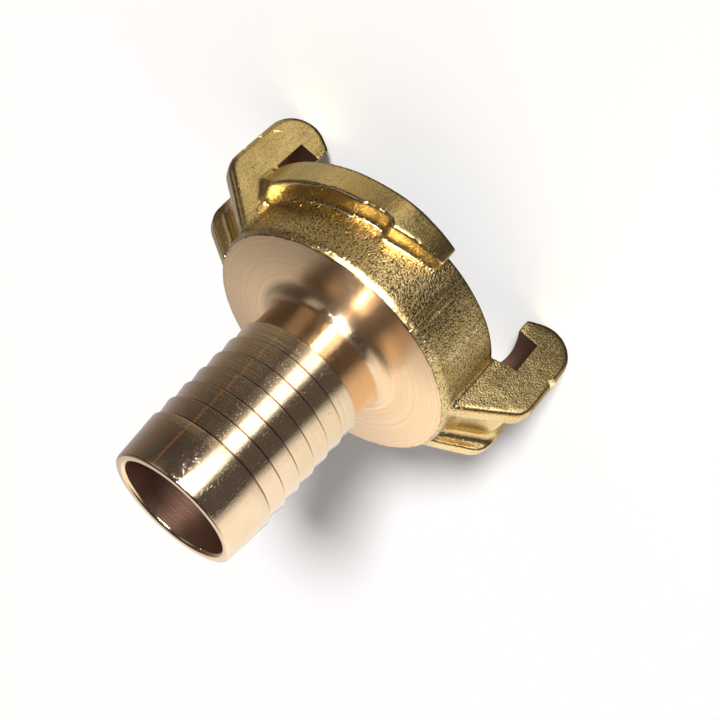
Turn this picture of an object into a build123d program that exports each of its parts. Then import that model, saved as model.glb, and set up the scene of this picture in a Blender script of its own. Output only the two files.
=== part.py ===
from build123d import *
import os
from math import cos, radians, sin, tan

"""Claw coupling half with a barbed hose tail, in forged and turned brass.

The body is one forging: a head with two hooked claws and two stepped ramp
flanges, and a hose tail that is turned on the same piece.  A rubber ring is
held in an undercut groove of the mating face.  Two equal halves are pushed
together, each claw passes through the gap beside the other half's flange, and
a quarter turn draws it up the ramp and drops it behind the step.

Frame: millimetres, +Z along the coupling's axis.  The coupling stands on the
noses of its two claws at Z = 0 with the hose tail upwards, and the claws lie
on the X axis.  The form repeats after half a turn about Z, but for the backs
of the claws, which both stand higher on the +Y side.
"""

os.makedirs("parts", exist_ok=True)

# Lengths along the axis
claw_reach = 10.45  # claw nose to the mating face of the head
head_depth = 11.4  # mating face to the machined back face
tail_length = 31.5  # machined back face to the mouth of the hose tail

# Hose tail
bore_radius = 8.0
mouth_radius = 9.4
barb_radius = 10.0  # crest of a barb, for a hose of 19 to 20 mm bore
barb_root_radius = 9.5
barb_count = 7
barb_pitch = 2.93
first_barb = 7.1  # mouth to the first crest
barb_step = 0.05  # height over which a barb drops to its root
neck_radius = 9.4
neck_fillet = 2.4
mouth_chamfer = 0.3

# Head
back_face_radius = 18.9
shoulder_radius = 19.3  # forged skin just below the machined face
shoulder_height = 0.9
head_radius = 19.5  # at the mating face
front_chamfer = 0.3

# Groove for the sealing ring
lip_radius = 15.6
lip_depth = 1.4
groove_radius = 16.8
groove_depth = 6.2  # mating face to the floor of the groove

# Sealing ring
ring_inner_radius = 10.6
ring_proud = 1.6  # how far the free ring stands out of the mating face
ring_clearance = 0.15
ring_rim = 0.6  # bevel of the sealing lip

# Ramp flange, as angles about the axis from the middle of the claw it starts at
flange_radius = 22.65
flange_end_radius = 21.6
flange_sweep = 105.0
flange_step = 82.5
seat_thickness = 4.3
heel_thickness = 2.2  # where the flange meets the claw
heel_crest_thickness = 4.75
heel_run = 17.0  # angle from the claw's side to the heel's crest
heel_rise = 1.8  # pull of the heel's curve at each of its ends
notch_thickness = 3.8
crest_thickness = 4.75
entry_thickness = 3.05
notch_width = 2.4
step_run = 0.8
flange_bite = 1.0  # how far the flange runs into the head

# Claw
claw_radius = 26.8  # on the -Y side
claw_far_radius = 26.1  # on the +Y side
claw_width = 14.6
claw_root_drop = 2.1  # back face to the top of the claw, at the head's skin
claw_back_angle = 38.0  # on the -Y side
claw_far_angle = 30.0  # on the +Y side, where the forging stands higher
knuckle_radius = 3.5
nose_radius = 4.4
tip_angle = 30.0
claw_edge = 0.5  # bevel along the rims of the claw
claw_bite = 2.0  # how far the claw's block runs into the head

# Slot in the claw that takes the other half's flange
tip_thickness = 4.1
slot_clearance = 0.2
slot_shoulder = 0.95

# Trough between the two ribs on the back of the claw
rib_thickness = 2.5
trough_depth = 2.0
trough_side_depth = 1.2
trough_fillet = 1.5
trough_bend = 2.5
trough_end = 7.0

# Places that follow from these sizes
front_face = claw_reach
back_face = front_face + head_depth
mouth = back_face + tail_length
groove_floor = front_face + groove_depth
slot_radius = flange_radius + slot_clearance
tip_radius = head_radius + slot_clearance
root_x = head_radius - claw_bite
reach_out = 5.0  # how far cutting shapes run past the metal


def polar(radius, angle):
    """Point at a radius and an angle in degrees about the axis."""
    return (radius * cos(radians(angle)), radius * sin(radians(angle)))


# ---------------------------------------------------------------- ramp flange
# The flange is a sector of the full crest thickness.  Its back is then cut by
# a side profile that is drawn across the step: a flat seat, a notch that the
# claw drops into, the step, and the ramp that falls away to the entry end.
inner_radius = head_radius - flange_bite
step_x = flange_radius * sin(radians(90.0 - flange_step))
entry_x = flange_radius * cos(radians(flange_sweep))
seat_back = front_face + seat_thickness
notch_back = front_face + notch_thickness
crest_back = front_face + crest_thickness
entry_back = front_face + entry_thickness
heel_back = front_face + heel_thickness
heel_crest_back = front_face + heel_crest_thickness
heel_x = (flange_radius**2 - (claw_width / 2) ** 2) ** 0.5
heel_crest_x = heel_x * cos(radians(heel_run)) - claw_width / 2 * sin(radians(heel_run))
seat_x = (heel_crest_x + step_x) / 2
ramp_slope = (crest_back - entry_back) / (step_x - step_run - entry_x)

with BuildPart() as ramp_flange:
    with BuildSketch(Plane.XY.offset(front_face)):
        with BuildLine():
            inside = CenterArc((0, 0), inner_radius, 0, -flange_sweep)
            rim = CenterArc((0, 0), flange_radius, 0, -flange_step)
            lead_in = ThreePointArc(
                rim @ 1,
                polar((2 * flange_radius + flange_end_radius) / 3, -(flange_step + flange_sweep) / 2),
                polar(flange_end_radius, -flange_sweep),
            )
            Line(inside @ 0, rim @ 0)
            Line(lead_in @ 1, inside @ 1)
        make_face()
    extrude(amount=crest_thickness)
    with BuildSketch(Plane.XZ) as back_profile:
        with BuildLine():
            heel = Bezier(
                (heel_x, heel_back),
                (heel_x - heel_rise, heel_back + heel_rise),
                (heel_crest_x + heel_rise, heel_crest_back),
                (heel_crest_x, heel_crest_back),
            )
            settle = Bezier(
                heel @ 1,
                (heel_crest_x - heel_rise, heel_crest_back),
                (seat_x + heel_rise, seat_back),
                (seat_x, seat_back),
            )
            Polyline(
                settle @ 1,
                (step_x + 2 * notch_width, seat_back),
                (step_x + notch_width, notch_back),
                (step_x, notch_back),
                (step_x - step_run, crest_back),
                (entry_x - reach_out, entry_back - reach_out * ramp_slope),
                (entry_x - reach_out, crest_back + reach_out),
                (claw_radius, crest_back + reach_out),
                (claw_radius, heel_back - (claw_radius - heel_x)),
                heel @ 0,
            )
        make_face()
    extrude(amount=claw_radius, mode=Mode.SUBTRACT)

# ----------------------------------------------------------------------- claw
# The hook is ruled between its profiles on the -Y and the +Y side, which differ
# in how far they stand out and how steeply the back falls away.
claw_top = back_face - claw_root_drop
trough_angle = (claw_back_angle + claw_far_angle) / 2
trough_fall = tan(radians(trough_angle))
floor_top = claw_top - trough_depth / cos(radians(trough_angle))
trough_x = (claw_radius + claw_far_radius) / 2 - trough_side_depth
floor_bend_z = floor_top - (trough_x - head_radius) * trough_fall

with BuildPart() as trough:
    with BuildSketch(Plane.XZ) as trough_profile:
        with BuildLine():
            Polyline(
                (root_x - reach_out, floor_top + (head_radius - root_x + reach_out) * trough_fall),
                (trough_x, floor_bend_z),
                (trough_x, trough_end + trough_side_depth),
                (claw_radius + reach_out, trough_end - reach_out),
                (claw_radius + reach_out, mouth),
                (root_x - reach_out, mouth),
                close=True,
            )
        make_face()
        bend = trough_profile.vertices().sort_by_distance((trough_x, floor_bend_z))[0]
        fillet(bend, trough_bend)
    extrude(amount=claw_width / 2 - rib_thickness, both=True)
    floor_edges = trough.edges().filter_by(Axis.Y, reverse=True).sort_by(Axis.X)
    deep_edges = [edge for edge in floor_edges if edge.center().Z < claw_top]
    fillet(deep_edges, trough_fillet)

with BuildPart() as claw:
    for side, radius, angle in (
        (-1, claw_radius, claw_back_angle),
        (1, claw_far_radius, claw_far_angle),
    ):
        fall = tan(radians(angle))
        knuckle_z = claw_top - (radius - head_radius) * fall
        nose_x = radius - nose_radius
        with BuildSketch(Plane.XZ.offset(-side * claw_width / 2)) as hook_profile:
            with BuildLine():
                nose = CenterArc((nose_x, nose_radius), nose_radius, -90 - tip_angle, 90 + tip_angle)
                hook_x = min(root_x, (nose @ 0).X - claw_bite)
                tip_run = (nose @ 0).X - hook_x
                Polyline(
                    nose @ 1,
                    (radius, knuckle_z),
                    (root_x, claw_top + (head_radius - root_x) * fall),
                    (hook_x, front_face),
                    (hook_x, (nose @ 0).Y + tip_run * tan(radians(tip_angle))),
                    nose @ 0,
                )
            make_face()
            knuckle = hook_profile.vertices().sort_by_distance((radius, knuckle_z))[0]
            fillet(knuckle, knuckle_radius)
    loft(ruled=True)
    rim_edges = claw.edges().filter_by_position(Axis.X, root_x + 0.1, claw_radius)
    chamfer(rim_edges.filter_by(Axis.Y, reverse=True), claw_edge)
    add(trough.part, mode=Mode.SUBTRACT)

# -------------------------------------------------------------- coupling body
with BuildPart() as coupling_body:
    with BuildSketch(Plane.XZ) as turned_section:
        with BuildLine():
            barbs = []
            for barb in range(barb_count):
                crest = mouth - first_barb - barb * barb_pitch
                barbs += [(barb_radius, crest), (barb_root_radius, crest - barb_step)]
            barbs[-1] = (neck_radius, barbs[-1][1])
            Polyline(
                (bore_radius + mouth_chamfer, mouth),
                (mouth_radius - mouth_chamfer, mouth),
                (mouth_radius, mouth - mouth_chamfer),
                *barbs,
                (neck_radius, back_face),
                (back_face_radius, back_face),
                (shoulder_radius, back_face - shoulder_height),
                (head_radius, front_face + front_chamfer),
                (head_radius - front_chamfer, front_face),
                (bore_radius, front_face),
                (bore_radius, mouth - mouth_chamfer),
                close=True,
            )
        make_face()
        neck_corner = turned_section.vertices().sort_by_distance((neck_radius, back_face))[0]
        fillet(neck_corner, neck_fillet)
    revolve(axis=Axis.Z)
    with PolarLocations(0, 2):
        add(ramp_flange.part)
    add(claw.part)
    mirror(claw.part, about=Plane.YZ)
    # One cut turns the claws' slots, the mating face and the groove of the ring.
    with BuildSketch(Plane.XZ) as slot_section:
        with BuildLine():
            Polyline(
                (0, -reach_out),
                (tip_radius, -reach_out),
                (tip_radius, tip_thickness),
                (slot_radius, tip_thickness),
                (slot_radius, front_face - slot_shoulder),
                (head_radius - front_chamfer, front_face),
                (lip_radius, front_face),
                (lip_radius, front_face + lip_depth),
                (groove_radius, front_face + lip_depth),
                (groove_radius, groove_floor),
                (0, groove_floor),
                close=True,
            )
        make_face()
    revolve(axis=Axis.Z, mode=Mode.SUBTRACT)

coupling_body.part.label = "coupling_body"
export_step(coupling_body.part, "parts/coupling_body.step")

# --------------------------------------------------------------- sealing ring
with BuildPart() as sealing_ring:
    with BuildSketch(Plane.XZ) as ring_section:
        with BuildLine():
            Polyline(
                (ring_inner_radius, groove_floor),
                (groove_radius - ring_clearance, groove_floor),
                (groove_radius - ring_clearance, front_face + lip_depth + ring_clearance),
                (lip_radius - ring_clearance, front_face + lip_depth + ring_clearance),
                (lip_radius - ring_clearance, front_face - ring_proud),
                (ring_inner_radius, front_face - ring_proud),
                close=True,
            )
        make_face()
    revolve(axis=Axis.Z)
    lip_edges = sealing_ring.edges().filter_by(GeomType.CIRCLE).group_by(Axis.Z)[0]
    chamfer(lip_edges, ring_rim)

sealing_ring.part.label = "sealing_ring"
export_step(sealing_ring.part, "parts/sealing_ring.step")
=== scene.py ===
# %% [markdown]
# # A brass claw coupling with a barbed hose tail
# The coupling is one piece of brass that is made in two steps. A hot blank is
# forged to shape, which leaves a grainy skin, soft edges and a trimmed rim.
# Then the hose tail, the faces and the slots are turned on a lathe, which
# leaves crisp edges and fine lines round the axis. The model is made in the
# same two steps: a forging is softened first, and then it is cut.
#
# The fixed frame comes first. It holds the plain solids, and their box is kept
# and printed; the mouth's height is read from it. Every size below is in metres.

from math import cos, pi, radians, sin

import bpy
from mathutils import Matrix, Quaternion, Vector


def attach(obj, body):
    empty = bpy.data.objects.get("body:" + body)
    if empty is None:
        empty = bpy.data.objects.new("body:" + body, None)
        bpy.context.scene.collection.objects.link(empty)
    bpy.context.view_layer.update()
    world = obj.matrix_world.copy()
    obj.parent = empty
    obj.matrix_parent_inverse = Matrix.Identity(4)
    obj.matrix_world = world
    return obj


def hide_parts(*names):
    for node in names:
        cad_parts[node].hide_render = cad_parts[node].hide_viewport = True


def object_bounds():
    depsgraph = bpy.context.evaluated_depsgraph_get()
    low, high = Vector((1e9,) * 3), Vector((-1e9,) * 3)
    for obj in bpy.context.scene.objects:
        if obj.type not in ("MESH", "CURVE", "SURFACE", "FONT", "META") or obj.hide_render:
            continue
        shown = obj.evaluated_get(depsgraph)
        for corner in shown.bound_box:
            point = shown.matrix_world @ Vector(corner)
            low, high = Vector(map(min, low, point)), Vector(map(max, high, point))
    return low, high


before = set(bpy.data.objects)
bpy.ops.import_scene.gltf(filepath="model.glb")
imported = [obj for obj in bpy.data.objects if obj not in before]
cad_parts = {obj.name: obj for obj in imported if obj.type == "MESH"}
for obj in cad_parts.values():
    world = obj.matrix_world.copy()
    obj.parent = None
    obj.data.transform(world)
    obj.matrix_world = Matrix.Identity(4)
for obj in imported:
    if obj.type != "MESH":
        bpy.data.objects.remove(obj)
cad_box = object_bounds()
MM = 0.001


def in_mm(box):
    """The two corners of a box in millimetres, rounded for printing."""
    return [[round(c / MM, 2) for c in corner] for corner in box]


print("CAD box in mm:", in_mm(cad_box))

# %% [markdown]
# ## Sizes
# The heights follow from the frame: the coupling stands on the noses of its
# claws at zero, and the mouth of the hose tail is its highest point. The radii
# are those of the part.

# %% Sizes along the axis and from it
tail_length = 31.5 * MM
head_depth = 11.4 * MM
mouth = cad_box[1].z
back_face = mouth - tail_length
front_face = back_face - head_depth

bore_radius = 8.0 * MM
mouth_radius = 9.4 * MM
barb_radius = 10.0 * MM
barb_root_radius = 9.5 * MM
barb_count = 7
barb_pitch = 2.93 * MM
first_barb = 7.1 * MM
neck_radius = 9.4 * MM
neck_fillet = 2.4 * MM
edge_break = 0.3 * MM

back_face_radius = 18.9 * MM
head_radius = 19.5 * MM
lip_radius = 15.6 * MM
lip_depth = 1.4 * MM
groove_radius = 16.8 * MM
groove_floor = front_face + 6.2 * MM

claw_width = 14.6 * MM
tip_radius = 19.7 * MM
tip_thickness = 4.1 * MM
slot_radius = 22.85 * MM
slot_shoulder = 0.95 * MM
print("Mating face", round(front_face / MM, 2), "back face", round(back_face / MM, 2), "mm")

# %% [markdown]
# ## Small helpers
# An operator works on everything that is selected, so each step starts by
# selecting one object alone.


# %% Selecting one object, and applying a modifier
def select_only(obj):
    """Leaves obj as the only selected object, and the active one."""
    if bpy.context.object and bpy.context.object.mode != "OBJECT":
        bpy.ops.object.mode_set(mode="OBJECT")
    bpy.ops.object.select_all(action="DESELECT")
    obj.hide_set(False)
    obj.select_set(True)
    bpy.context.view_layer.objects.active = obj


def apply_modifier(obj, kind, **settings):
    """Adds one modifier, gives it its settings and applies it."""
    modifier = obj.modifiers.new(kind.title(), kind)
    for key, value in settings.items():
        setattr(modifier, key, value)
    select_only(obj)
    bpy.ops.object.modifier_apply(modifier=modifier.name)


def faces_of(obj):
    """How many faces a mesh has, for printing."""
    return len(obj.data.polygons)


print("Helpers: select_only, apply_modifier, faces_of")

# %% [markdown]
# The lathe helper works as a turner does: a ring of points is drawn at the
# first radius, and it is extruded along the axis and scaled to the next radius,
# from station to station. A solid shape starts from a filled ring. A tube
# starts from an open one, and its two ends are bridged.


# %% Turning a profile
def turn(name, stations, steps, tube):
    """Extrudes a ring through (radius, height) stations. A tube closes on its first ring."""
    bpy.ops.object.select_all(action="DESELECT")
    radius, height = stations[0]
    bpy.ops.mesh.primitive_circle_add(
        vertices=steps,
        radius=radius,
        fill_type="NOTHING" if tube else "NGON",
        location=(0, 0, height),
    )
    piece = bpy.context.object
    piece.name = name
    bpy.ops.object.transform_apply(location=True, rotation=True, scale=True)
    bpy.ops.object.mode_set(mode="EDIT")
    bpy.ops.mesh.select_mode(type="EDGE" if tube else "FACE")
    bpy.ops.mesh.select_all(action="SELECT")
    for next_radius, next_height in stations[1:]:
        bpy.ops.mesh.extrude_region_move(
            TRANSFORM_OT_translate={"value": (0, 0, next_height - height)}
        )
        scale = next_radius / radius
        bpy.ops.transform.resize(value=(scale, scale, 1), center_override=(0, 0, 0))
        radius, height = next_radius, next_height
    if tube:
        bridge_ends(piece, steps)
    bpy.ops.mesh.select_all(action="SELECT")
    bpy.ops.mesh.remove_doubles(threshold=0.0001 * MM)
    bpy.ops.mesh.normals_make_consistent(inside=False)
    bpy.ops.object.mode_set(mode="OBJECT")
    return piece


def bridge_ends(piece, steps):
    """Bridges the first and the last ring of a turned strip, and stays in edit mode."""
    bpy.ops.object.mode_set(mode="OBJECT")
    last_ring = len(piece.data.vertices) - steps
    for edge in piece.data.edges:
        low, high = sorted(edge.vertices)
        edge.select = high < steps or low >= last_ring
    bpy.ops.object.mode_set(mode="EDIT")
    bpy.ops.mesh.bridge_edge_loops()


print("Helpers: turn, bridge_ends")

# %% [markdown]
# ## The turned core
# The hose tail, its barbs, the bore and the machined back face all come off the
# lathe in one clamping, so they share one profile. Each barb is a short cone
# that drops back to the root in one step, which is what bites into the hose.
# The neck runs into the face in a quarter round. The core reaches a little way
# into the forging, where nothing of it shows. A bevel takes the razor edge off
# every corner, so that each crest catches a line of light.

# %% Turn the hose tail and the back face
round_steps = 288
neck_steps = 10
barb_drop = 0.06 * MM
mouth_rounding = 0.3 * edge_break
face_proud = 0.03 * MM
face_edge = back_face_radius - 0.02 * MM
core_radius = 15.0 * MM
corner_bevel = 0.11 * MM


def tail_profile():
    """Stations from the mouth down the outside, under the face and up the bore."""
    stations = [
        (bore_radius + edge_break, mouth),
        (mouth_radius - edge_break, mouth),
        (mouth_radius - mouth_rounding, mouth - mouth_rounding),
        (mouth_radius, mouth - edge_break),
    ]
    for barb in range(barb_count):
        crest = mouth - first_barb - barb * barb_pitch
        stations.append((barb_radius, crest))
        foot = neck_radius if barb == barb_count - 1 else barb_root_radius
        stations.append((foot, crest - barb_drop))
    for step in range(neck_steps + 1):
        angle = pi / 2 * step / neck_steps
        stations.append(
            (
                neck_radius + neck_fillet * (1 - cos(angle)),
                back_face + neck_fillet * (1 - sin(angle)),
            )
        )
    stations += [
        (face_edge, back_face),
        (face_edge, back_face - 1.0 * MM),
        (core_radius, back_face - 2.0 * MM),
        (core_radius, groove_floor - face_proud),
        (bore_radius, groove_floor - face_proud),
        (bore_radius, mouth - edge_break),
    ]
    return stations


core = turn("hose_tail", tail_profile(), steps=round_steps, tube=True)
apply_modifier(
    core,
    "BEVEL",
    width=corner_bevel,
    segments=3,
    limit_method="ANGLE",
    angle_limit=radians(35),
)
print("Turned core:", faces_of(core), "faces")

# %% [markdown]
# ## The forging
# The shape of the forging is already in the frame, so a copy of that solid is
# the blank. Its loose triangles are merged first. Stock is added where the
# lathe will cut: a plug in the bore and a block in each slot. A voxel remesh
# then makes one even skin out of the pile, and smoothing it rounds every edge
# and fills every corner a little, as metal does in a die. A modelled bevel
# would need clean edge loops, which a triangulated solid doesn't have.

# %% Copy the solid
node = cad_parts["coupling_body"]
blank = node.copy()
blank.data = node.data.copy()
blank.name = "forged_head"
bpy.context.scene.collection.objects.link(blank)
for key in list(blank.keys()):
    del blank[key]
blank.parent = None
blank.data.materials.clear()
select_only(blank)
bpy.ops.object.mode_set(mode="EDIT")
bpy.ops.mesh.select_all(action="SELECT")
bpy.ops.mesh.remove_doubles(threshold=0.001 * MM)
bpy.ops.object.mode_set(mode="OBJECT")
bpy.ops.mesh.customdata_custom_splitnormals_clear()
print("Copied solid:", faces_of(blank), "faces")

# %% [markdown]
# The stock is larger than the hollow that it fills, so that the cutter meets
# sound metal all round. Only the two sides of a claw are left as they are.

# %% Add stock and soften the pile
voxel = 0.27 * MM
die_softness = 9
plug_proud = 2 * MM
plug_radius = groove_radius + 0.8 * MM
slot_stock_start = 18.5 * MM
slot_spare = 1.0 * MM
side_inset = 0.02 * MM


def stock_block(low, high):
    """A block of stock between two corners."""
    middle = [(a + b) / 2 for a, b in zip(low, high)]
    size = [b - a for a, b in zip(low, high)]
    bpy.ops.object.select_all(action="DESELECT")
    bpy.ops.mesh.primitive_cube_add(size=1, location=middle, scale=size)
    return bpy.context.object


def join_to(first, others):
    """Joins the other objects to the first."""
    select_only(first)
    for other in others:
        other.select_set(True)
    bpy.ops.object.join()


bpy.ops.object.select_all(action="DESELECT")
bpy.ops.mesh.primitive_cylinder_add(
    vertices=96,
    radius=plug_radius,
    depth=back_face - front_face + plug_proud,
    location=(0, 0, (front_face + back_face) / 2 + plug_proud / 2),
)
stock = [bpy.context.object]
for side in (-1, 1):
    inner, outer = sorted((side * slot_stock_start, side * (slot_radius + slot_spare)))
    stock.append(
        stock_block(
            (inner, -claw_width / 2 + side_inset, tip_thickness - slot_spare),
            (outer, claw_width / 2 - side_inset, front_face + slot_spare),
        )
    )

join_to(blank, stock)
blank.data.remesh_voxel_size = voxel
blank.data.remesh_voxel_adaptivity = 0
bpy.ops.object.voxel_remesh()
apply_modifier(blank, "SMOOTH", factor=0.5, iterations=die_softness)
print("Forged blank:", faces_of(blank), "faces")

# %% [markdown]
# ## The forged skin
# A die is never quite smooth, and scale is pressed into the hot metal. Two
# displacements with cloud patterns give the skin its slow waves and its
# shallow pits. The fine sparkling grain is left to the material, because it is
# smaller than a face of the mesh.

# %% Displace the skin
SKIN = (
    # name, size, strength and depth of the clouds
    ("waves", 5.0 * MM, 0.07 * MM, 1),
    ("pits", 1.1 * MM, 0.02 * MM, 2),
)
for name, size, strength, depth in SKIN:
    pattern = bpy.data.textures.new("forging_" + name, "CLOUDS")
    pattern.noise_scale = size
    pattern.noise_depth = depth
    apply_modifier(
        blank,
        "DISPLACE",
        texture=pattern,
        texture_coords="LOCAL",
        strength=strength,
        mid_level=0.5,
    )
print("Forged skin:", [row[0] for row in SKIN])

# %% [markdown]
# ## Cutting the forging
# One cutter does the work of the lathe on the head. Its profile frees the
# slots behind the claws' tips, faces the head, opens the groove for the
# sealing ring and takes the back down to the machined face. The faces that it
# leaves keep the cutter's material, so cut metal and forged skin part along a
# clean line.

# %% Shape the cutter
overrun = 5.0 * MM
clear_of_head = 34.0 * MM
hidden_radius = core_radius - 1.5 * MM
cutter = turn(
    "turning_cutter",
    [
        (tip_radius, -overrun),
        (tip_radius, tip_thickness),
        (slot_radius, tip_thickness),
        (slot_radius, front_face - slot_shoulder),
        (head_radius - edge_break, front_face),
        (lip_radius, front_face),
        (lip_radius, front_face + lip_depth),
        (groove_radius, front_face + lip_depth),
        (groove_radius, groove_floor),
        (hidden_radius, groove_floor),
        (hidden_radius, back_face - face_proud),
        (clear_of_head, back_face - face_proud),
        (clear_of_head, mouth + overrun),
    ],
    steps=round_steps,
    tube=False,
)
print("Cutter:", faces_of(cutter), "faces")

# %% [markdown]
# The claws have been knocked about. Small turned blocks stand for the knocks,
# and a long block takes off the worn inner corner of one claw's tip. A block
# leaves the crisp, bright edge that a knock leaves, which a dent pushed into
# the smooth skin wouldn't.

# %% Place the knocks on the claws' rims
BLOWS = [
    # middle and size in millimetres, turns about X, Y and Z in degrees
    ((-26.55, -7.3, 7.3), (1.1, 1.3, 0.95), (10, 25, 35)),
    ((-26.75, -7.5, 6.4), (0.7, 1.1, 0.5), (30, 5, 50)),
    ((26.45, -7.5, 7.5), (0.8, 0.9, 0.45), (20, 35, 40)),
    ((26.75, -7.5, 10.6), (0.8, 1.0, 0.35), (0, 20, 50)),
    ((25.2, -7.5, 5.0), (0.5, 0.5, 1.5), (20, 50, 45)),
    ((-19.3, 4.2, 1.0), (2.4, 9.5, 5.6), (0, 0, 12)),
]

blows = []
for middle, size, turns in BLOWS:
    block = stock_block(
        [(m - s / 2) * MM for m, s in zip(middle, size)],
        [(m + s / 2) * MM for m, s in zip(middle, size)],
    )
    block.rotation_euler = [radians(angle) for angle in turns]
    blows.append(block)
nicks = blows[0]
join_to(nicks, blows[1:])
nicks.name = "knocks"
bpy.ops.object.transform_apply(location=True, rotation=True, scale=True)
print("Knocks:", len(BLOWS))

# %% [markdown]
# ## Two finishes and a painted shade on one piece
# The forged skin is yellow and grainy, and it glitters because each tiny hollow
# mirrors another part of the room. Cut brass is paler and smoother, and its
# fine lines run round the axis. In the bore and the slots the cut brass is
# painted dark and reddish, as painted shade. All three are plain metal with one
# Principled shader, and what they share is made as node groups.


# %% New materials and groups
def new_material(name):
    """A material with its nodes on, and its Principled shader."""
    material = bpy.data.materials.new(name)
    material.use_nodes = True
    return material, material.node_tree.nodes["Principled BSDF"]


def new_group(name, inputs, outputs):
    """A shader node group with named float inputs and named outputs."""
    group = bpy.data.node_groups.new(name, "ShaderNodeTree")
    for label, value in inputs:
        socket = group.interface.new_socket(label, in_out="INPUT", socket_type="NodeSocketFloat")
        socket.default_value = value
    for label in outputs:
        group.interface.new_socket(label, in_out="OUTPUT", socket_type="NodeSocketFloat")
    return group, group.nodes.new("NodeGroupInput"), group.nodes.new("NodeGroupOutput")


def use_group(tree, group, **values):
    """Places a group in a material and sets its inputs, with _ for a space."""
    node = tree.nodes.new("ShaderNodeGroup")
    node.node_tree = group
    for label, value in values.items():
        node.inputs[label.replace("_", " ")].default_value = value
    return node


print("Helpers: new_material, new_group, use_group")

# %% [markdown]
# The next helpers place one node each and give back its output, so that a
# material reads as a short list of steps.


# %% One helper for each node
def math(tree, operation, *values):
    """A Math node; each value is a number or a socket. Returns its output."""
    node = tree.nodes.new("ShaderNodeMath")
    node.operation = operation
    for socket, value in zip(node.inputs, values):
        if isinstance(value, (int, float)):
            socket.default_value = value
        else:
            tree.links.new(value, socket)
    return node.outputs[0]


def noise(tree, vector, scale, detail=2.0):
    """A noise texture on a vector. Returns its value."""
    node = tree.nodes.new("ShaderNodeTexNoise")
    node.inputs["Detail"].default_value = detail
    tree.links.new(vector, node.inputs["Vector"])
    if isinstance(scale, (int, float)):
        node.inputs["Scale"].default_value = scale
    else:
        tree.links.new(scale, node.inputs["Scale"])
    return node.outputs["Fac"]


def spread(tree, value, low, high):
    """Stretches the part of a value between low and high over 0 to 1."""
    node = tree.nodes.new("ShaderNodeMapRange")
    node.inputs["From Min"].default_value = low
    node.inputs["From Max"].default_value = high
    tree.links.new(value, node.inputs["Value"])
    return node.outputs["Result"]


def mix_colours(tree, factor, first, second):
    """A colour between two; each is a tuple or a socket."""
    node = tree.nodes.new("ShaderNodeMix")
    node.data_type = "RGBA"
    tree.links.new(factor, node.inputs[0])
    for socket, colour in ((node.inputs[6], first), (node.inputs[7], second)):
        if isinstance(colour, tuple):
            socket.default_value = (*colour, 1)
        else:
            tree.links.new(colour, socket)
    return node.outputs[2]


def add_bump(tree, shader, height, distance):
    """Feeds a height to the shader's normal."""
    bump = tree.nodes.new("ShaderNodeBump")
    bump.inputs["Distance"].default_value = distance
    tree.links.new(height, bump.inputs["Height"])
    tree.links.new(bump.outputs[0], shader.inputs["Normal"])


def object_coordinates(tree):
    """The place on the piece, in metres from the foot of the axis."""
    return tree.nodes.new("ShaderNodeTexCoord").outputs["Object"]


def distance_from_axis(tree, place):
    """The distance of a place from the Z axis, and its height."""
    parts = tree.nodes.new("ShaderNodeSeparateXYZ")
    tree.links.new(place, parts.inputs[0])
    x, y, z = parts.outputs
    squares = math(tree, "ADD", math(tree, "MULTIPLY", x, x), math(tree, "MULTIPLY", y, y))
    return math(tree, "SQRT", squares), z


print("Helpers: math, noise, spread, mix_colours, add_bump, distance_from_axis")

# %% [markdown]
# ### Lines from the lathe
# A turned surface has no pattern along its circumference, only from one line
# to the next. The distance from the axis and the height are all that the noise
# may see, so both are packed into one vector. The same group then serves the
# tail, where the height changes, and the faces, where the distance does. Specks
# and a ripple break the lines up, as handling does.

# %% Build the lathe line group
rings_per_metre = 3200.0
specks_per_metre = 4800.0
ripples_per_metre = 2600.0
stains_per_metre = 160.0
ripple_share = 0.5

lathe, lathe_in, lathe_out = new_group(
    "lathe_lines",
    [("Lines per metre", 2500.0), ("Specks", 0.5)],
    ["Height", "Rings", "Stain"],
)
place = object_coordinates(lathe)
across, up = distance_from_axis(lathe, place)
packed = lathe.nodes.new("ShaderNodeCombineXYZ")
lathe.links.new(across, packed.inputs[0])
lathe.links.new(up, packed.inputs[1])
lines = noise(lathe, packed.outputs[0], lathe_in.outputs["Lines per metre"], detail=4.0)
rings = noise(lathe, packed.outputs[0], rings_per_metre, detail=4.0)
lathe.links.new(spread(lathe, rings, 0.36, 0.64), lathe_out.inputs["Rings"])
specks = spread(lathe, noise(lathe, place, specks_per_metre), 0.84, 0.62)
ripple = noise(lathe, place, ripples_per_metre)
lines = math(lathe, "MULTIPLY_ADD", ripple, ripple_share, lines)
height = math(lathe, "MULTIPLY_ADD", specks, lathe_in.outputs["Specks"], lines)
lathe.links.new(height, lathe_out.inputs["Height"])
stain = noise(lathe, place, stains_per_metre, detail=4.0)
lathe.links.new(spread(lathe, stain, 0.35, 0.75), lathe_out.inputs["Stain"])
print("Group", lathe.name, "has", len(lathe.nodes), "nodes")

# %% [markdown]
# ### Grain from the forging
# The forged skin has a fine grain that glitters, a coarser one that makes it
# look hammered, and scratches that run along the axis, where the trimming tool
# dragged over it. Slow patches are rubbed bright or stay dull. The hollows of
# the fine grain are given out as pits, for the dirt in them, and the mesh's own
# pointiness as edges, for the wear and the painted highlight on them.

# %% Build the forged grain group
coarse_per_metre = 900.0
scratches_per_metre = 4000.0
scratch_stretch = 0.05
scratch_depth = 0.35
rubs_per_metre = 210.0

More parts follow.
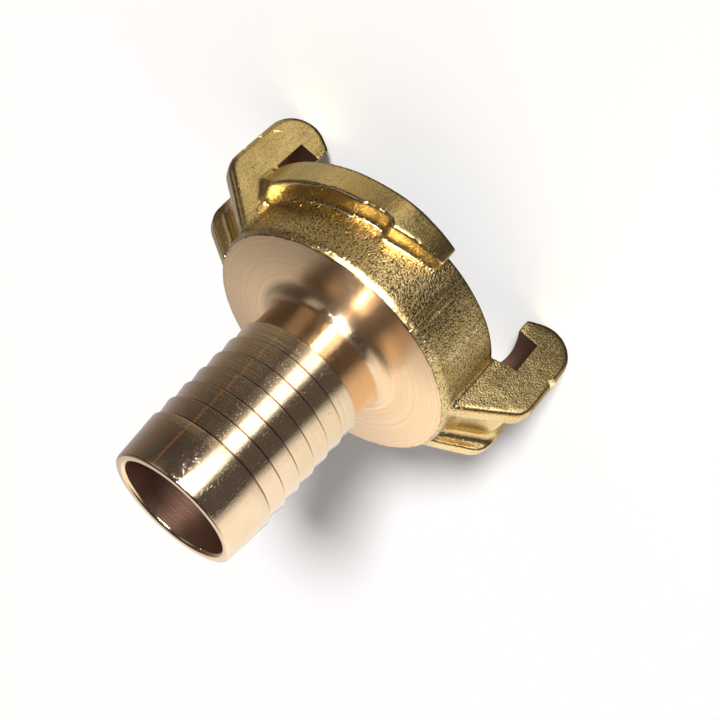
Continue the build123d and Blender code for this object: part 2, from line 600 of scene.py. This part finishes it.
grain, grain_in, grain_out = new_group(
    "forged_grain",
    [("Grains per metre", 3200.0), ("Coarse", 0.25)],
    ["Height", "Pits", "Rubbed", "Edges"],
)
place = object_coordinates(grain)
fine = noise(grain, place, grain_in.outputs["Grains per metre"], detail=3.0)
coarse = noise(grain, place, coarse_per_metre)
height = math(grain, "MULTIPLY_ADD", coarse, grain_in.outputs["Coarse"], fine)
drawn_out = grain.nodes.new("ShaderNodeMapping")
drawn_out.inputs["Scale"].default_value = (1.0, 1.0, scratch_stretch)
grain.links.new(place, drawn_out.inputs["Vector"])
scratches = spread(grain, noise(grain, drawn_out.outputs[0], scratches_per_metre), 0.60, 0.72)
height = math(grain, "MULTIPLY_ADD", scratches, -scratch_depth, height)
grain.links.new(height, grain_out.inputs["Height"])
grain.links.new(spread(grain, fine, 0.48, 0.34), grain_out.inputs["Pits"])
shape = grain.nodes.new("ShaderNodeNewGeometry")
edges = spread(grain, shape.outputs["Pointiness"], 0.52, 0.60)
grain.links.new(edges, grain_out.inputs["Edges"])
rubbed = noise(grain, place, rubs_per_metre, detail=4.0)
grain.links.new(spread(grain, rubbed, 0.38, 0.66), grain_out.inputs["Rubbed"])
print("Group", grain.name, "has", len(grain.nodes), "nodes")

# %% [markdown]
# ### The turned brass
# Cut brass is rosy and mirrors the room in bands that run along the tail. The
# lathe's lines smear each reflection across them, so the shader is strongly
# anisotropic, with its tangent running round the axis. The flat face was cut
# with a coarser feed, so it is duller and shows its rings. A painted shade darkens
# the step under each barb and the ragged rim where cut and forged skin meet.

# %% Make the turned brass
FRESH_CUT = (0.97, 0.75, 0.51)
RING_SHADE = (0.85, 0.62, 0.36)
HANDLED = (0.88, 0.66, 0.42)
# The next colour is painted shade, for the dark lines under the barbs and at the rim.
SHADE_LINE_COLOUR = (0.26, 0.16, 0.10)
tail_roughness = 0.13
face_roughness = 0.14
ragged_rim = 0.6 * MM
last_crest = mouth - first_barb - (barb_count - 1) * barb_pitch
crest_phase = (mouth - first_barb) / barb_pitch % 1 + 2

turned, shader = new_material("turned_brass")
tree = turned.node_tree
cut = use_group(tree, lathe, Lines_per_metre=2500.0, Specks=1.2)
shader.inputs["Metallic"].default_value = 1.0
shader.inputs["Anisotropic"].default_value = 0.9
shader.inputs["Anisotropic Rotation"].default_value = 0.25
around = tree.nodes.new("ShaderNodeTangent")
around.direction_type = "RADIAL"
around.axis = "Z"
tree.links.new(around.outputs[0], shader.inputs["Tangent"])

across, up = distance_from_axis(tree, object_coordinates(tree))
on_face = spread(tree, up, back_face + 2.0 * MM, back_face + 0.2 * MM)
grooved = math(tree, "MULTIPLY", on_face, cut.outputs["Rings"])
ringed = mix_colours(tree, grooved, FRESH_CUT, RING_SHADE)
clean = mix_colours(tree, cut.outputs["Stain"], ringed, HANDLED)

# A painted shade line along the ragged rim of the back face.
ragged = noise(tree, object_coordinates(tree), 900.0, detail=3.0)
from_rim = math(tree, "MULTIPLY_ADD", ragged, ragged_rim, across)
past_rim = spread(tree, from_rim, face_edge + 0.15 * MM, face_edge + 0.35 * MM)
at_back = math(tree, "GREATER_THAN", up, back_face - 0.5 * MM)
rim_painted_shade = math(tree, "MULTIPLY", past_rim, at_back)
# A painted shade line in the step under each barb.
past_crest = math(tree, "FRACT", math(tree, "MULTIPLY_ADD", up, -1 / barb_pitch, crest_phase))
corner = spread(tree, past_crest, 0.140, 0.100)
among_barbs = math(tree, "GREATER_THAN", up, last_crest - 0.6 * MM)
below_mouth = math(tree, "LESS_THAN", up, mouth - first_barb + 0.1 * MM)
barb_painted_shade = math(tree, "MULTIPLY", math(tree, "MULTIPLY", corner, among_barbs), below_mouth)
painted_shade_lines = math(tree, "MAXIMUM", barb_painted_shade, rim_painted_shade)
tree.links.new(mix_colours(tree, painted_shade_lines, clean, SHADE_LINE_COLOUR), shader.inputs["Base Color"])

roughness = math(tree, "MULTIPLY_ADD", on_face, face_roughness, tail_roughness)
tree.links.new(roughness, shader.inputs["Roughness"])
add_bump(tree, shader, cut.outputs["Height"], 0.012 * MM)
print(turned.name, "has", len(tree.nodes), "nodes")

# %% [markdown]
# ### The dark brass inside
# The bore and the walls of the slots were cut by the same tool. Their dull red
# brown is painted shade, which stands in for the shade and the dark reflections
# deep inside them. The same lines serve, on a darker and rougher metal.

# %% Make the dark brass
# Both colours are painted shade for the bore and the slots.
INNER_SHADE = (0.30, 0.17, 0.12)
DEEPER_INNER_SHADE = (0.22, 0.12, 0.085)

inner, shader = new_material("shaded_brass")
tree = inner.node_tree
cut = use_group(tree, lathe, Lines_per_metre=2500.0, Specks=0.5)
shader.inputs["Metallic"].default_value = 1.0
colour = mix_colours(tree, cut.outputs["Stain"], INNER_SHADE, DEEPER_INNER_SHADE)
tree.links.new(colour, shader.inputs["Base Color"])
roughness = math(tree, "MULTIPLY_ADD", cut.outputs["Stain"], 0.15, 0.35)
tree.links.new(roughness, shader.inputs["Roughness"])
add_bump(tree, shader, cut.outputs["Height"], 0.02 * MM)
print(inner.name, "has", len(tree.nodes), "nodes")

# %% [markdown]
# ### The forged brass
# The barrel of the head keeps the full grain of the die, with dark pits in it.
# The claws and the flanges stand further out and are worn smooth, so both the
# height of the grain and its pits fade where the distance from the axis passes
# the barrel's. Edges are paler, partly from wear and partly as a painted highlight.

# %% Make the forged brass
DULL_SKIN = (0.78, 0.58, 0.25)
RUBBED_SKIN = (0.90, 0.69, 0.33)
# The pale edge colour is partly wear and partly a painted highlight.
EDGE_WEAR_AND_HIGHLIGHT = (0.97, 0.80, 0.45)
PIT_DIRT = (0.16, 0.11, 0.04)
pits_off_barrel = 0.35
grain_off_barrel = 0.28

forged, shader = new_material("forged_brass")
tree = forged.node_tree
skin = use_group(tree, grain, Grains_per_metre=3800.0, Coarse=0.10)
shader.inputs["Metallic"].default_value = 1.0
across = distance_from_axis(tree, object_coordinates(tree))[0]
on_barrel = spread(tree, across, 20.8 * MM, 19.9 * MM)

body_colour = mix_colours(tree, skin.outputs["Rubbed"], DULL_SKIN, RUBBED_SKIN)
pit_share = math(tree, "MULTIPLY_ADD", on_barrel, 1 - pits_off_barrel, pits_off_barrel)
pitted = math(tree, "MULTIPLY", pit_share, skin.outputs["Pits"])
colour = mix_colours(tree, pitted, body_colour, PIT_DIRT)
# Pointy edges take the pale colour: wear, and a painted highlight.
colour = mix_colours(tree, skin.outputs["Edges"], colour, EDGE_WEAR_AND_HIGHLIGHT)
tree.links.new(colour, shader.inputs["Base Color"])
roughness = math(tree, "MULTIPLY_ADD", skin.outputs["Rubbed"], -0.06, 0.19)
tree.links.new(roughness, shader.inputs["Roughness"])
grain_share = math(tree, "MULTIPLY_ADD", on_barrel, 1 - grain_off_barrel, grain_off_barrel)
height = math(tree, "MULTIPLY", skin.outputs["Height"], grain_share)
add_bump(tree, shader, height, 0.10 * MM)
print(forged.name, "has", len(tree.nodes), "nodes")

# %% [markdown]
# ### The rubber
# The sealing ring is black rubber with a little dust on it. It is matt, so a
# fine bump and a slow change of grey are all that it needs.

# %% Make the rubber
CLEAN_RUBBER = (0.018, 0.018, 0.020)
DUSTY_RUBBER = (0.060, 0.058, 0.055)

rubber, shader = new_material("rubber")
tree = rubber.node_tree
place = object_coordinates(tree)
dust = spread(tree, noise(tree, place, 350.0, detail=4.0), 0.4, 0.8)
colour = mix_colours(tree, dust, CLEAN_RUBBER, DUSTY_RUBBER)
tree.links.new(colour, shader.inputs["Base Color"])
roughness = math(tree, "MULTIPLY_ADD", dust, 0.25, 0.5)
tree.links.new(roughness, shader.inputs["Roughness"])
add_bump(tree, shader, noise(tree, place, 3000.0), 0.02 * MM)
print("Materials:", [material.name for material in (turned, inner, forged, rubber)])

# %% [markdown]
# ## Cut the forging
# All the solids hold the same three materials in the same order, so each face
# still knows after the cut whether it was forged, turned or given painted shade.
# The edges between two materials are marked sharp, and so are the corners of
# the cut. The rest is shaded smooth.

# %% Give every solid its finishes
FORGED, TURNED, SHADED = 0, 1, 2


def give_materials(obj, *materials):
    """Gives an object these materials and no others."""
    obj.data.materials.clear()
    for material in materials:
        obj.data.materials.append(material)


for piece in (blank, cutter, nicks, core):
    give_materials(piece, forged, turned, inner)
for face in blank.data.polygons:
    face.material_index = FORGED
for face in nicks.data.polygons:
    face.material_index = TURNED
for face in cutter.data.polygons:
    # Faces in the slots get the brass with painted shade.
    in_slot = tip_radius < face.center.xy.length < slot_radius and face.center.z < front_face
    face.material_index = SHADED if in_slot else TURNED
for face in core.data.polygons:
    # Faces in the bore get the brass with painted shade.
    in_bore = face.center.xy.length < bore_radius and face.center.z < mouth - edge_break
    face.material_index = SHADED if in_bore else TURNED
print("Finishes:", [material.name for material in blank.data.materials])


# %% Cut, and mark the sharp edges
def cut_with(obj, tool):
    """Takes one solid away from another, and removes the tool."""
    apply_modifier(obj, "BOOLEAN", operation="DIFFERENCE", object=tool, solver="MANIFOLD")
    bpy.data.objects.remove(tool)


def shade(obj, angle):
    """Shades smooth but for changes of finish and corners of cut faces past an angle."""
    select_only(obj)
    bpy.ops.object.shade_smooth()
    mesh = obj.data
    kinds = [face.material_index for face in mesh.polygons]
    normals = [face.normal.copy() for face in mesh.polygons]
    beside = {}
    for face in mesh.polygons:
        for key in face.edge_keys:
            beside.setdefault(key, []).append(face.index)
    sharp = 0
    for edge in mesh.edges:
        pair = beside.get(edge.key, ())
        if len(pair) != 2:
            continue
        first, second = pair
        cut_faces = FORGED not in (kinds[first], kinds[second])
        corner = cut_faces and normals[first].angle(normals[second], 0) > angle
        edge.use_edge_sharp = kinds[first] != kinds[second] or corner
        sharp += edge.use_edge_sharp
    return sharp


cut_with(blank, cutter)
cut_with(blank, nicks)
print("Head:", faces_of(blank), "faces,", shade(blank, radians(30)), "sharp edges")
print("Tail:", faces_of(core), "faces,", shade(core, radians(20)), "sharp edges")

# %% [markdown]
# ## The sealing ring
# The ring sits in its groove out of sight, so the solid of the frame is kept
# as it is, and only takes the rubber. The forged head and the turned core are
# one piece of brass on the real coupling, so both stand for the same solid.

# %% Dress the ring and tell the frame what each piece stands for
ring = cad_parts["sealing_ring"]
give_materials(ring, rubber)
for piece in (blank, core):
    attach(piece, "root")
    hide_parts("coupling_body")
print("Pieces:", [piece.name for piece in (blank, core, ring)])

# %% [markdown]
# ## The studio
# Metal has no look of its own: it shows the room. The room here is painted on
# the world by bearing, as a ring of light and dark walls all round the
# coupling, so that the edges of the lights can be soft. Behind the viewer
# stands a narrow bright window with dark walls on both sides of it, and beyond
# the coupling the walls grow white.
#
# A wall looks different at each height. The tail mirrors what is low down,
# where the light is olive and dim, and the machined face mirrors what is
# overhead, where a second window hangs. Straight up and straight down are dark.

# %% List the lights round the room
window_glare = 2.4
WHITE = (1.0, 1.0, 1.0)
DUSK = (1.0, 0.88, 0.90)
COOL = (1.0, 1.0, 1.15)
WARM = (1.0, 0.92, 0.86)
OLIVE = (1.0, 0.93, 0.72)
AMBER = (1.0, 0.42, 0.16)
PIT_BLACK = (0.02, 0.018, 0.016)
CEILING_BLACK = (0.02, 0.018, 0.018)

# Each row is a bearing in degrees from +X, a brightness and a tint.
EYE_LEVEL = [
    (-180, 1.05, WHITE),
    (-166, 0.95, WHITE),
    (-150, 0.09, DUSK),
    (-126, 0.09, DUSK),
    (-113, 0.10, DUSK),
    (-108, 0.40, WHITE),
    (-102, 2.40, WHITE),
    (-87, 2.40, WHITE),
    (-80, 0.40, WHITE),
    (-73, 0.09, DUSK),
    (-28, 0.05, DUSK),
    (-26, 0.34, AMBER),
    (-24, 0.05, DUSK),
    (8, 0.12, DUSK),
    (10, 0.25, AMBER),
    (12, 0.13, DUSK),
    (35, 0.26, DUSK),
    (70, 0.46, COOL),
    (95, 0.62, COOL),
    (108, 1.00, WHITE),
    (180, 1.05, WHITE),
]
LOW_DOWN = [
    (-180, 0.36, OLIVE),
    (-162, 0.30, OLIVE),
    (-145, 0.07, DUSK),
    (-124, 0.07, DUSK),
    (-108, 0.22, OLIVE),
    (-101, 0.22, OLIVE),
    (-96, 0.06, DUSK),
    (-86, 0.10, DUSK),
    (-77, 0.80, OLIVE),
    (-68, 0.80, OLIVE),
    (-58, 0.14, DUSK),
    (-44, 0.42, OLIVE),
    (-20, 0.55, OLIVE),
    (17, 0.35, OLIVE),
    (60, 0.45, OLIVE),
    (120, 0.50, OLIVE),
    (180, 0.36, OLIVE),
]
OVERHEAD = [
    (-180, 1.05, WARM),
    (-160, 0.60, WARM),
    (-145, 0.08, DUSK),
    (-109, 0.06, DUSK),
    (-102, 1.80, WHITE),
    (-88, 1.80, WHITE),
    (-79, 0.06, DUSK),
    (-50, 0.06, DUSK),
    (-38, 0.40, WARM),
    (-24, 0.40, WARM),
    (-8, 0.06, DUSK),
    (30, 0.08, DUSK),
    (60, 0.25, WARM),
    (74, 0.48, WARM),
    (80, 0.58, WARM),
    (90, 1.25, WARM),
    (150, 1.20, WARM),
    (180, 1.05, WARM),
]
print("Lights listed:", len(EYE_LEVEL), len(LOW_DOWN), len(OVERHEAD))

# %% [markdown]
# A colour ramp holds colours up to 1, so each row is divided by the glare of
# the window, and the strength of the world gives it back. The height of a
# direction is the Z of its arrow, from -1 straight down to 1 straight up.


# %% Paint the walls of the room
def paint_bearings(tree, bearing, rows):
    """A colour ramp over the whole turn, from rows of bearing, brightness and tint."""
    ramp = tree.nodes.new("ShaderNodeValToRGB")
    tree.links.new(bearing, ramp.inputs[0])
    stops = ramp.color_ramp.elements
    while len(stops) > 1:
        stops.remove(stops[-1])
    for index, (angle, level, tint) in enumerate(rows):
        position = (angle + 180) / 360
        stop = stops[0] if index == 0 else stops.new(position)
        stop.position = position
        stop.color = (*[level / window_glare * part for part in tint], 1)
    return ramp.outputs["Color"]


world = bpy.data.worlds.new("studio")
bpy.context.scene.world = world
world.use_nodes = True
tree = world.node_tree
background = tree.nodes["Background"]
direction = tree.nodes.new("ShaderNodeTexCoord").outputs["Generated"]
parts = tree.nodes.new("ShaderNodeSeparateXYZ")
tree.links.new(direction, parts.inputs[0])
bearing = spread(tree, math(tree, "ARCTAN2", parts.outputs[1], parts.outputs[0]), -pi, pi)
walls = paint_bearings(tree, bearing, EYE_LEVEL)
BANDS = (
    # height where the band begins, height where it is full, and what it shows
    (-0.36, -0.50, paint_bearings(tree, bearing, LOW_DOWN)),
    (-0.62, -0.80, PIT_BLACK),
    (0.10, 0.30, paint_bearings(tree, bearing, OVERHEAD)),
    (0.62, 0.85, CEILING_BLACK),
)
for begins, full, band in BANDS:
    walls = mix_colours(tree, spread(tree, parts.outputs[2], begins, full), walls, band)
tree.links.new(walls, background.inputs["Color"])
background.inputs["Strength"].default_value = window_glare
print("World", world.name, "has", len(tree.nodes), "nodes")

# %% [markdown]
# The floor is a large pale sheet. It is hidden from reflections, because the
# walls already stand for the room, and it lies just under the claws' noses.

# %% Lay the floor
bpy.ops.object.select_all(action="DESELECT")
bpy.ops.mesh.primitive_plane_add(size=6.0, location=(0, 0, -0.02 * MM))
floor = bpy.context.object
floor.name = "floor"
sheet, shader = new_material("floor_sheet")
shader.inputs["Base Color"].default_value = (0.93, 0.93, 0.93, 1)
shader.inputs["Roughness"].default_value = 0.9
give_materials(floor, sheet)
floor.visible_glossy = False
print("Floor:", [round(side, 2) for side in floor.dimensions], "m")

# %% [markdown]
# One wide lamp stands a little to one side of the viewer and a little lower,
# so the shadow falls just past the coupling and has a soft edge. Its strength
# brings the pale floor to plain white and no further.


# %% Hang the lamp
def pointing_from(bearing, height):
    """The unit arrow from the origin to a bearing and a height, in radians."""
    return Vector((cos(bearing) * cos(height), sin(bearing) * cos(height), sin(height)))


lamp = bpy.data.objects.new("lamp", bpy.data.lights.new("lamp", "SUN"))
bpy.context.scene.collection.objects.link(lamp)
lamp_bearing = radians(-83)
lamp_height = radians(23)
lamp.data.energy = 6.1
lamp.data.angle = radians(10)
lamp.rotation_mode = "QUATERNION"
lamp.rotation_quaternion = pointing_from(lamp_bearing, lamp_height).to_track_quat("Z", "Y")
print("Lamp:", lamp.data.energy, "W per square metre")

# %% [markdown]
# ## The camera
# The camera looks down on the standing coupling from in front of it, and it is
# rolled so far that the hose tail points to the lower left of the view.

# %% Set up the camera
camera_bearing = radians(-94.25)
camera_height = radians(28.23)
camera_roll = radians(-137.13)
camera_distance = 151.5 * MM
aim = Vector((-4.62, -1.79, 21.03)) * MM

camera = bpy.data.objects.new("camera", bpy.data.cameras.new("camera"))
bpy.context.scene.collection.objects.link(camera)
back = pointing_from(camera_bearing, camera_height)
upright = (-back).to_track_quat("-Z", "Y")
camera.rotation_mode = "QUATERNION"
camera.rotation_quaternion = Quaternion(back, camera_roll) @ upright
camera.location = aim + back * camera_distance
camera.data.sensor_width = 36
camera.data.lens = 55.78
camera.data.clip_start = 0.005
camera.data.clip_end = 10
bpy.context.scene.camera = camera
bpy.context.scene.view_settings.view_transform = "Standard"
print("Camera at", [round(c / MM, 1) for c in camera.location], "mm")
